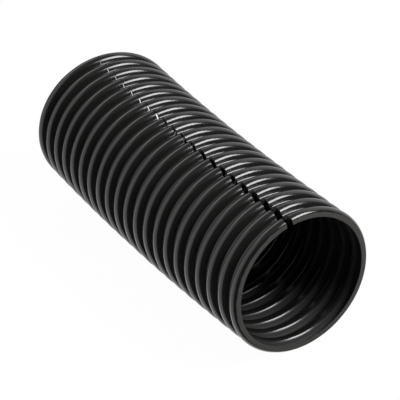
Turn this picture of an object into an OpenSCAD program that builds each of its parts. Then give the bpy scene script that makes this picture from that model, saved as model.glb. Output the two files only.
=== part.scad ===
// Split corrugated conduit: a short cut length of slit wiring tube.
// One moulded wall runs out over each crest and in under each valley, and one
// lengthwise slit lets wires be laid in from the side. The tube lies on the
// floor plane with its front end towards +X and its lasting bend level.

/* [Tube] */
// Outside diameter over the crests
crest_d = 43; // [42:0.1:46]
// Clear inside diameter through the valleys
bore_d = 37.7; // [36:0.1:38.4]
// Wall thickness
wall = 0.7; // [0.5:0.05:0.75]
// Number of crests in the cut length
crests = 21; // [5:2:31]

/* [Corrugation] */
// Distance from one crest to the next
pitch = 5.3; // [5.2:0.05:6.4]
// Width of a crest at its top, between the lines of its flanks
crest_w = 2.4; // [2.2:0.05:2.6]
// Lean of each flank away from square to the tube
flank_lean = 22; // [12:1:24]
// Rounding of the crest's shoulders
shoulder_r = 0.8; // [0.75:0.05:1]
// Rounding at the foot of each flank, in the valley
foot_r = 0.5; // [0.3:0.05:0.55]

/* [Ends] */
// Distance from the middle of the first crest to the cut front end
front_end = 1.5; // [1.45:0.05:1.8]

/* [Bend] */
// Radius of the lasting bend, to the middle of the tube
bend_r = 835; // [600:5:3000]

/* [Slit] */
// Gap between the cut faces at the front end
gap_front = 2.2; // [0.8:0.1:3.6]
// Gap between the cut faces at the back end
gap_back = 0.4; // [0.3:0.05:2]
// Turn of the slit away from the top at the back end, towards -Y
turn_back = 7; // [0:1:30]
// Turn of the slit away from the top at the front end, towards -Y
turn_front = 13; // [0:1:30]

/* [Hidden] */
$fn = 128;

crest_r = crest_d / 2;
bore_r = bore_d / 2;
valley_r = bore_r + wall;
// the front end is cut close to its crest and the back end in the middle of a valley
length = (crests - 0.5) * pitch + front_end;
// the wall measured along the tube, where it runs down a flank
flank_wall = wall / cos(flank_lean);
// how far a piece that is joined or cut away runs past the face it crosses
past = 0.35;
// steps of a rounding, and the last angle it reaches before it dips under its neighbour
round_steps = 3;
foot_end = 228;
// stretches of the slit, each a straight knife cut
slit_steps = 6;

function turned(s) = s / bend_r * 180 / PI;
function mid_x(s) = bend_r * sin(turned(s));
function mid_y(s) = bend_r * (1 - cos(turned(s)));
function lerp(a, b, t) = a + (b - a) * t;
function along(t) = lerp(-length / 2 - 2, length / 2 + 2, t);

// place of a crest along the middle line, counted from the front
function crest_at(i) = length / 2 - front_end - i * pitch;

// half the width of a crest at radius r, narrowed by inset
function flank(r, inset) = crest_w / 2 + (crest_r - r) * tan(flank_lean) - inset;

function rounding(middle, r, from, to) = [
    for (i = [0 : round_steps])
        let(a = lerp(from, to, i / round_steps)) middle + r * [sin(a), cos(a)]
];

// one side of a crest, from its foot under radius bottom to its top at radius top:
// [radius, place along the tube] points, ready to be turned
function side_points(top, bottom, inset, top_r, bottom_r) =
    let(
        top_middle = [top - top_r, flank(top - top_r, inset) - top_r / cos(flank_lean)],
        foot_middle = [bottom + bottom_r, flank(bottom + bottom_r, inset) + bottom_r / cos(flank_lean)],
        last = foot_middle + bottom_r * [sin(foot_end), cos(foot_end)],
        dip = last[0] - bottom + past
    )
    concat(
        [[bottom - past, last[1] + dip * tan(foot_end - 180)]],
        rounding(foot_middle, bottom_r, foot_end, 180 + flank_lean),
        rounding(top_middle, top_r, flank_lean, 90)
    );

outside = side_points(crest_r, valley_r, 0, shoulder_r, foot_r);
inside = side_points(crest_r - wall, bore_r, flank_wall, shoulder_r - wall, foot_r + wall);

function reversed(points) = [for (i = [len(points) - 1 : -1 : 0]) points[i]];
function flipped(points) = [for (p = points) [p[0], -p[1]]];

// what a straight cut at distance s from the crest's middle leaves of its side
function cut(side, s) = concat(
    [[lookup(s, [for (p = reversed(side)) [p[1], p[0]]]), s]],
    [for (p = side) if (p[1] < s) p]
);

// puts a piece made at the origin at distance s along the bent middle line
module at(s) translate([mid_x(s), mid_y(s), 0]) rotate([0, 0, turned(s)]) children();

// a solid disc with the outline of one crest, from its back side to its front side
module crest_disc(back, front) rotate([0, 90, 0]) rotate_extrude() polygon(concat(
    [[0, -back[0][1]]], flipped(back), reversed(front), [[0, front[0][1]]]
));

module rod(r, from, to) translate([from, 0, 0]) rotate([0, 90, 0]) cylinder(r = r, h = to - from);

// the valleys from the given one back, as rods. They stop short of each other inside
// the crests, so no two nearly equal cylinders meet.
module valleys(r, first, end_past) {
    reach = pitch / 2 - 0.15;
    for (i = [first : crests]) at(crest_at(i - 0.5)) rod(r, i == crests ? -end_past : -reach, reach);
}

// the tube as if it were solid, with its front end cut straight
module outer_form() {
    valleys(valley_r, 1, 0);
    at(crest_at(0)) crest_disc(outside, cut(outside, front_end));
    for (i = [1 : crests - 1]) at(crest_at(i)) crest_disc(outside, outside);
}

// the room inside it, running out past both ends
module inner_form() {
    valleys(bore_r, 0, 1);
    for (i = [0 : crests - 1]) at(crest_at(i)) crest_disc(inside, inside);
}

// the gap of the slit, seen square to the cut: it narrows and drifts from front to back
module slit() {
    turn = (turn_front + turn_back) / 2;
    drift = function (t) -crest_r * sin(lerp(turn_back, turn_front, t) - turn);
    edge = function (t, side) [
        mid_x(along(t)),
        mid_y(along(t)) * cos(turn) + drift(t) + side * lerp(gap_back, gap_front, t) / 2
    ];
    rotate([turn, 0, 0]) linear_extrude(height = crest_r + 2) polygon(concat(
        [for (i = [0 : slit_steps]) edge(i / slit_steps, -1)],
        [for (i = [slit_steps : -1 : 0]) edge(i / slit_steps, 1)]
    ));
}

module conduit() {
    sag = mid_y(crest_at(0));
    color("#1e1e1d") translate([0, -sag / 2, crest_r]) difference() {
        outer_form();
        inner_form();
        slit();
    }
}

conduit();
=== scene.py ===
import math

import bmesh
import bpy
from mathutils import Matrix, Vector, noise


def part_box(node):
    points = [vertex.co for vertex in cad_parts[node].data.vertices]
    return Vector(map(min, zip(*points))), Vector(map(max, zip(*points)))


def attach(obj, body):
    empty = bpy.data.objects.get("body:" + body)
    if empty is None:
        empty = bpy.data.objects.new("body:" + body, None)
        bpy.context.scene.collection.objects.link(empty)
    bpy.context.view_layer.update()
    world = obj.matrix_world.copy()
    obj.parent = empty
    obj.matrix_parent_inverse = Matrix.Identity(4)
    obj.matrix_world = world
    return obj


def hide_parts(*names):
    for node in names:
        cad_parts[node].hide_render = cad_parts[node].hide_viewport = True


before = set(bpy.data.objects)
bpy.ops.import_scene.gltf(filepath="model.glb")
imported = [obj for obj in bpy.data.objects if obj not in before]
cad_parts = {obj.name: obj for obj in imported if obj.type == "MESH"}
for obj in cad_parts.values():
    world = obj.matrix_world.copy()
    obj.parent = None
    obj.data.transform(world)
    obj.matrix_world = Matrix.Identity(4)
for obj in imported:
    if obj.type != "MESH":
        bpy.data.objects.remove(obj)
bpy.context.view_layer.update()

mm = 0.001

# the camera stands in front of the open end, a little above it; location in millimetres
view = {
    "location": (562.839, -325.843, 387.338),
    "azimuth": -30.2045,    # from +X towards +Y
    "elevation": 29.4993,
    "lens": 240.363,
}

# the tube in millimetres and degrees; its outside diameter comes from the frame
conduit = {
    "bore": 18.85,           # radius of the clear way through the valleys
    "wall": 0.7,
    "crests": 21,
    "pitch": 5.3,
    "crestWidth": 2.4,       # at the top, between the lines of the flanks
    "flankLean": 22.0,       # away from square
    "shoulder": 1.7,         # rounding of a crest's shoulders
    "foot": 0.5,             # rounding in the valley
    "innerShoulder": 1.0,
    "ridge": 1.2,            # rounding of the ridges inside
    "outerSegments": (4, 2), # of each rounding, at the shoulders and at the feet
    "innerSegments": (3, 3),
    "steps": 136,            # around the tube
    "frontEnd": 1.5,         # from the first crest to the cut
    "bend": 835.0,           # radius of the lasting bend
    "flattened": 0.45,       # how far the slit side lies in, and its turn from the top
    "flattenedAt": 10.65,
    "outOfRound": 0.05,      # and how closely that varies along and around
    "roundGrain": (0.11, 1.6),
    "waver": 0.05,           # uneven moulding of the crests, along the tube
    "waverGrain": (3.7, 4),
    "sharpFrom": 35.0,
}

# the knife's cuts; turns are from the top, towards -Y
slit = {
    "gapFront": 2.1,
    "gapBack": 0.26,
    "turnFront": 13.0,
    "turnBack": 7.0,
    "open": 4.0,             # left open by the spin, before the gap gets its width
    "ragged": 0.16,          # how far the knife strayed where the gap is wide
    "wide": 0.8,
    "grain": (0.9, 3.1),     # of the coarse and the fine straying, along the tube
    "bevel": 0.05,
    "across": 0.9,           # a face that looks this far around the tube is a cut face
    "touch": 0.001,
}


def measureFrame():
    c = conduit
    low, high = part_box("conduit")
    c["crest"] = high[2] * 500
    c["length"] = (c["crests"] - 0.5) * c["pitch"] + c["frontEnd"]
    c["sag"] = c["bend"] * (1 - math.cos(crestAt(0) / c["bend"]))
    print("frame length", round((high[0] - low[0]) * 1000, 2))
    print("outside", round(2 * c["crest"], 2), "length", round(c["length"], 2))


def crestAt(i):
    return conduit["length"] / 2 - conduit["frontEnd"] - i * conduit["pitch"]


def makeCamera():
    a, e = math.radians(view["azimuth"]), math.radians(view["elevation"])
    back = Vector((math.cos(a) * math.cos(e), math.sin(a) * math.cos(e), math.sin(e)))
    right = Vector((-math.sin(a), math.cos(a), 0))
    turn = Matrix((right, back.cross(right), back)).transposed().to_4x4()
    data = bpy.data.cameras.new("camera")
    data.sensor_width = 36
    data.lens = view["lens"]
    data.clip_start = 0.01
    camera = bpy.data.objects.new("camera", data)
    bpy.context.scene.collection.objects.link(camera)
    camera.matrix_world = Matrix.Translation(Vector(view["location"]) * mm) @ turn
    bpy.context.scene.camera = camera


# ------- shape
def makeObject(name, bm):
    mesh = bpy.data.meshes.new(name)
    bm.to_mesh(mesh)
    bm.free()
    piece = bpy.data.objects.new(name, mesh)
    bpy.context.scene.collection.objects.link(piece)
    return piece


def wallFace(bm, top, bottom, inset, shoulder, foot, segments):
    c = conduit
    lean = math.tan(math.radians(c["flankLean"]))
    turn = math.tan(math.radians(90 - c["flankLean"]) / 2)
    edge = lambda r: c["crestWidth"] / 2 + (c["crest"] - r) * lean - inset
    corners = [(c["pitch"] / 2, bottom), (edge(bottom), bottom), (edge(top), top)]
    corners += [(-x, r) for x, r in reversed(corners)]
    old = set(bm.verts)
    verts = [bm.verts.new((crestAt(0) + x, 0, r)) for x, r in corners]
    for pair in zip(verts, verts[1:]):
        bm.edges.new(pair)
    shoulders, feet = verts[2:4], [verts[1], verts[4]]
    for pair, radius, count in zip((shoulders, feet), (shoulder, foot), segments):
        bmesh.ops.bevel(bm, geom=pair, offset=radius * turn, affect="VERTICES",
                        segments=count, profile=0.5, material=-1)
    isNew = lambda g: (g if isinstance(g, bmesh.types.BMVert) else g.verts[0]) not in old
    period = [g for g in list(bm.verts) + list(bm.edges) if isNew(g)]
    for i in range(1, c["crests"]):
        copied = bmesh.ops.duplicate(bm, geom=period)["geom"]
        moved = [v for v in copied if isinstance(v, bmesh.types.BMVert)]
        bmesh.ops.translate(bm, verts=moved, vec=(-i * c["pitch"], 0, 0))
    bmesh.ops.remove_doubles(bm, verts=[v for v in bm.verts if isNew(v)], dist=0.001)
    whole = [g for g in list(bm.verts) + list(bm.edges) if isNew(g)]
    bmesh.ops.bisect_plane(bm, geom=whole, dist=0.0001, plane_co=(c["length"] / 2, 0, 0),
                           plane_no=(1, 0, 0), clear_outer=True)
    return [e for e in bm.edges if isNew(e)]


def makeSection(bm):
    c = conduit
    inside = bm.verts.layers.float.new("inside")
    flankWall = c["wall"] / math.cos(math.radians(c["flankLean"]))
    outer = wallFace(bm, c["crest"], c["bore"] + c["wall"], 0,
                     c["shoulder"], c["foot"], c["outerSegments"])
    inner = wallFace(bm, c["crest"] - c["wall"], c["bore"], flankWall,
                     c["innerShoulder"], c["ridge"], c["innerSegments"])
    for v in {v for edge in inner for v in edge.verts}:
        v[inside] = 1
    bmesh.ops.bridge_loops(bm, edges=outer + inner)
    print("section", len(bm.verts), "points", len(bm.faces), "faces")


# the second material goes on the faces that the knife left
def markCuts(bm):
    for face in bm.faces:
        middle, normal = face.calc_center_median(), face.normal
        across = abs(middle.y * normal.z - middle.z * normal.y) / math.hypot(middle.y, middle.z)
        atEnd = abs(abs(middle.x) - conduit["length"] / 2) < slit["touch"]
        face.material_index = 1 if across > slit["across"] or atEnd else 0


# where a point of the spun section goes around the tube, in degrees
def turnOf(point, radius):
    spun = 360 - slit["open"]
    angle = math.degrees(math.atan2(-point.y, point.z)) % 360
    share = angle / spun if angle < spun + slit["open"] / 2 else 0
    t = max(0.0, point.x / conduit["length"] + 0.5)
    gap = slit["gapBack"] + (slit["gapFront"] - slit["gapBack"]) * t * t
    half = math.degrees(math.asin(gap / 2 / radius))
    drift = slit["turnBack"] + (slit["turnFront"] - slit["turnBack"]) * t
    turn = drift + half + share * (360 - 2 * half)
    edge = 1 if share < 0.001 else -1 if share > 0.999 else 0
    if edge:
        coarse, fine = slit["grain"]
        stray = noise.noise((point.x * coarse, 3 * edge, 5.3))
        stray += 0.5 * noise.noise((point.x * fine, 7 * edge, 1.7))
        turn += math.degrees(min(1, gap / slit["wide"]) * slit["ragged"] * stray / radius)
    return turn


def placePoints(bm):
    c = conduit
    height = bm.verts.layers.float.new("height")
    alongGrain, aroundGrain = c["roundGrain"]
    crestGrain, waverGrain = c["waverGrain"]
    for v in bm.verts:
        s, radius = v.co.x, math.hypot(v.co.y, v.co.z)
        v[height] = (radius - c["bore"]) / (c["crest"] - c["bore"])
        a, b = math.radians(turnOf(v.co, radius)), s / c["bend"]
        around = Vector((0, math.sin(a), math.cos(a)))
        radius += c["outOfRound"] * noise.noise(around * aroundGrain + Vector((s * alongGrain, 0, 0)))
        radius -= c["flattened"] * math.cos(2 * (a - math.radians(c["flattenedAt"])))
        crest = Vector((round(s / c["pitch"]) * crestGrain, 0, 0))
        moved = c["waver"] * noise.noise(around * waverGrain + crest)
        reach = c["bend"] + radius * around.y
        v.co = Vector((math.sin(b) * reach + moved,
                       c["bend"] - math.cos(b) * reach - c["sag"] / 2,
                       radius * around.z + c["crest"] - c["flattened"])) * mm


def makeConduit():
    bm = bmesh.new()
    makeSection(bm)
    whole = list(bm.verts) + list(bm.edges) + list(bm.faces)
    bmesh.ops.spin(bm, geom=whole, cent=(0, 0, 0), axis=(1, 0, 0), steps=conduit["steps"],
                   angle=math.radians(360 - slit["open"]), use_merge=False)
    markCuts(bm)
    placePoints(bm)
    bmesh.ops.recalc_face_normals(bm, faces=bm.faces)
    rims = [e for e in bm.edges if len({f.material_index for f in e.link_faces}) == 2]
    bmesh.ops.bevel(bm, geom=rims, offset=slit["bevel"] * mm, affect="EDGES", segments=1,
                    profile=0.5, material=-1)
    piece = makeObject("conduit_tube", bm)
    piece.data.shade_smooth()
    piece.data.set_sharp_from_angle(angle=math.radians(conduit["sharpFrom"]))
    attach(piece, "root")
    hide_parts("conduit")
    print("conduit", len(piece.data.polygons), "faces")
    return piece


# ------- finish
class Wire:
    def __init__(self, tree, socket=None):
        self.tree = tree
        self.socket = socket

    def feed(self, made, inputs):
        for name, value in inputs.items():
            if isinstance(value, Wire):
                self.tree.links.new(value.socket, made.inputs[name])
            else:
                made.inputs[name].default_value = value

    def node(self, kind, settings=None, inputs=None, out=0):
        made = self.tree.nodes.new("ShaderNode" + kind)
        for name, value in (settings or {}).items():
            if name == "stops":
                while len(made.color_ramp.elements) < len(value):
                    made.color_ramp.elements.new(1)
                for stop, (place, shade) in zip(made.color_ramp.elements, value):
                    stop.position, stop.color = place, shade
            else:
                setattr(made, name, value)
        self.feed(made, inputs or {})
        return Wire(self.tree, made.outputs[out])

    def math(self, operation, *values):
        return self.node("Math", {"operation": operation}, dict(enumerate(values)))

    def smooth(self, low, high):
        return self.node("MapRange", {"interpolation_type": "SMOOTHSTEP"},
                         {"Value": self, "From Min": low, "From Max": high})

    def __add__(self, other):
        return self.math("ADD", self, other)

    def __radd__(self, other):
        return self.math("ADD", other, self)

    def __sub__(self, other):
        return self.math("SUBTRACT", self, other)

    def __rsub__(self, other):
        return self.math("SUBTRACT", other, self)

    def __mul__(self, other):
        return self.math("MULTIPLY", self, other)

    def __rmul__(self, other):
        return self.math("MULTIPLY", other, self)

    def __truediv__(self, other):
        return self.math("DIVIDE", self, other)


def startMaterial(name):
    material = bpy.data.materials.new(name)
    material.use_nodes = True
    return material, Wire(material.node_tree), material.node_tree.nodes["Principled BSDF"]


finish = {
    "colour": (0.008, 0.008, 0.0074, 1),
    "hollowPaintedShade": (0.004, 0.004, 0.004, 1),   # painted shade: a darker base colour between the ridges inside
    "hollowFrom": (0.1, 0.35),                  # heights where that sets in, of the way out to a crest
    "roughness": 0.13,
    "cloudRoughness": 0.1,
    "hollowRoughness": 0.55,
    "grain": {"Scale": 1800, "Detail": 3},
    "cloud": {"Scale": 120, "Detail": 4},
    "bump": {"Strength": 0.15, "Distance": 0.00003},
}

cutFinish = {
    "colour": (0.045, 0.043, 0.04, 1),
    "roughness": 0.45,
    "grainRoughness": 0.1,
    "grain": {"Scale": 2500, "Detail": 3},
    "bump": {"Strength": 0.4, "Distance": 0.00005},
}


def noiseOf(start, place, settings):
    return start.node("TexNoise", {"noise_dimensions": "3D"}, {"Vector": place, **settings})


def bumpOf(start, grain, settings):
    return start.node("Bump", None, {"Height": grain, **settings})


def blackPlastic():
    f = finish
    material, start, shader = startMaterial("blackPlastic")
    place = start.node("TexCoord", out="Object")
    grain, cloud = noiseOf(start, place, f["grain"]), noiseOf(start, place, f["cloud"])
    inside = start.node("Attribute", {"attribute_name": "inside"}, None, "Fac")
    height = start.node("Attribute", {"attribute_name": "height"}, None, "Fac")
    # painted shade: the base colour goes darker in the hollows between the inside ridges; the same mask also
    # makes them rougher
    hollow = inside * height.smooth(*f["hollowFrom"])
    colour = start.node("Mix", {"data_type": "RGBA"}, {
        "Factor": 1 - hollow, "A": f["hollowPaintedShade"], "B": f["colour"]}, "Result")
    roughness = f["roughness"] + f["cloudRoughness"] * cloud + f["hollowRoughness"] * hollow
    start.feed(shader, {"Base Color": colour, "Roughness": roughness,
                        "Normal": bumpOf(start, grain, f["bump"])})
    return material


def cutPlastic():
    f = cutFinish
    material, start, shader = startMaterial("cutPlastic")
    grain = noiseOf(start, start.node("TexCoord", out="Object"), f["grain"])
    roughness = f["roughness"] + f["grainRoughness"] * grain
    start.feed(shader, {"Base Color": f["colour"], "Roughness": roughness,
                        "Normal": bumpOf(start, grain, f["bump"])})
    return material


# ------- studio
# strengths are against a plain white of 1, and directions are azimuth and elevation in degrees
studio = {
    "floor": 0.85,
    "floorWhite": 0.98,             # share of plain white on the floor, as the camera sees it
    "key": (38.0, 48.0),            # the soft light over the front
    "keyDistance": 1.2,
    "keySize": (0.66, 0.44),
    "keyRadiance": 18.0,
    "white": 1.1,                   # of the surroundings behind the tube
    "edge": (-0.02, 0.22),          # where along +X they end
    "gap": (172.0, -4.0),           # the dark gap in them, straight behind
    "gapEdge": (0.80, 0.93),        # cosines off its middle, where it starts and is full
    "ceiling": 0.25,
    "ceilingEdge": (0.75, 0.92),
    "patch": (188.0, 42.0),         # a brighter patch behind the slit
    "patchEdge": (0.90, 0.98),
    "patchWhite": 1.0,
    "dark": 0.05,
}


def towards(azimuth, elevation):
    a, e = math.radians(azimuth), math.radians(elevation)
    return Vector((math.cos(a) * math.cos(e), math.sin(a) * math.cos(e), math.sin(e)))


def makeFloor():
    bm = bmesh.new()
    bmesh.ops.create_grid(bm, x_segments=1, y_segments=1, size=4)
    floor = makeObject("studio_floor", bm)
    material, start, shader = startMaterial("floorWhite")
    shade = studio["floor"]
    start.feed(shader, {"Base Color": (shade, shade, shade, 1), "Roughness": 0.9, "Specular IOR Level": 0.0})
    plain = start.node("Emission", None, {"Color": (1, 1, 1, 1), "Strength": 1.0})
    clear = start.node("BsdfTransparent", None, {"Color": (1, 1, 1, 1)})
    seen = studio["floorWhite"] * start.node("LightPath", out="Is Camera Ray")
    lit = Wire(material.node_tree, shader.outputs[0])
    mixed = start.node("MixShader", None, {0: seen, 1: lit, 2: plain})
    # what shines back from the tube is the surroundings, also those below the floor
    glossy = start.node("LightPath", out="Is Glossy Ray")
    mixed = start.node("MixShader", None, {0: glossy, 1: mixed, 2: clear})
    start.feed(material.node_tree.nodes["Material Output"], {"Surface": mixed})
    floor.data.materials.append(material)


def makeWorld():
    world = bpy.data.worlds.new("studio")
    bpy.context.scene.world = world
    world.use_nodes = True
    start = Wire(world.node_tree)
    direction = start.node("TexCoord", out="Generated")
    parts = start.node("SeparateXYZ", None, {"Vector": direction}).socket.node.outputs
    x, z = Wire(world.node_tree, parts["X"]), Wire(world.node_tree, parts["Z"])

    def spot(name):
        aimed = {0: direction, 1: towards(*studio[name])}
        cosine = start.node("VectorMath", {"operation": "DOT_PRODUCT"}, aimed, "Value")
        return cosine.smooth(*studio[name + "Edge"])

    above = z.smooth(*studio["ceilingEdge"])
    behind = (1 - x.smooth(*studio["edge"])) * (1 - spot("gap")) * (1 - above)
    strength = studio["dark"] + studio["white"] * behind + studio["ceiling"] * above
    strength = strength + studio["patchWhite"] * spot("patch")
    strength = strength.math("MAXIMUM", strength, start.node("LightPath", out="Is Camera Ray"))
    background = world.node_tree.nodes["Background"]
    start.feed(background, {"Color": (1, 1, 1, 1), "Strength": strength})


def makeKey():
    aim = towards(*studio["key"])
    data = bpy.data.lights.new("key", "AREA")
    data.shape = "RECTANGLE"
    data.size, data.size_y = studio["keySize"]
    data.energy = studio["keyRadiance"] * math.pi * data.size * data.size_y
    lamp = bpy.data.objects.new("key", data)
    sideways = Vector((0, 0, 1)).cross(aim).normalized()
    turn = Matrix((sideways, aim.cross(sideways), aim)).transposed().to_4x4()
    lamp.matrix_world = Matrix.Translation(aim * studio["keyDistance"]) @ turn
    bpy.context.scene.collection.objects.link(lamp)


measureFrame()
makeCamera()
tube = makeConduit()
tube.data.materials.append(blackPlastic())
tube.data.materials.append(cutPlastic())
print("finish ready")
makeFloor()
makeWorld()
makeKey()
bpy.context.scene.view_settings.view_transform = "Standard"
print("studio ready")
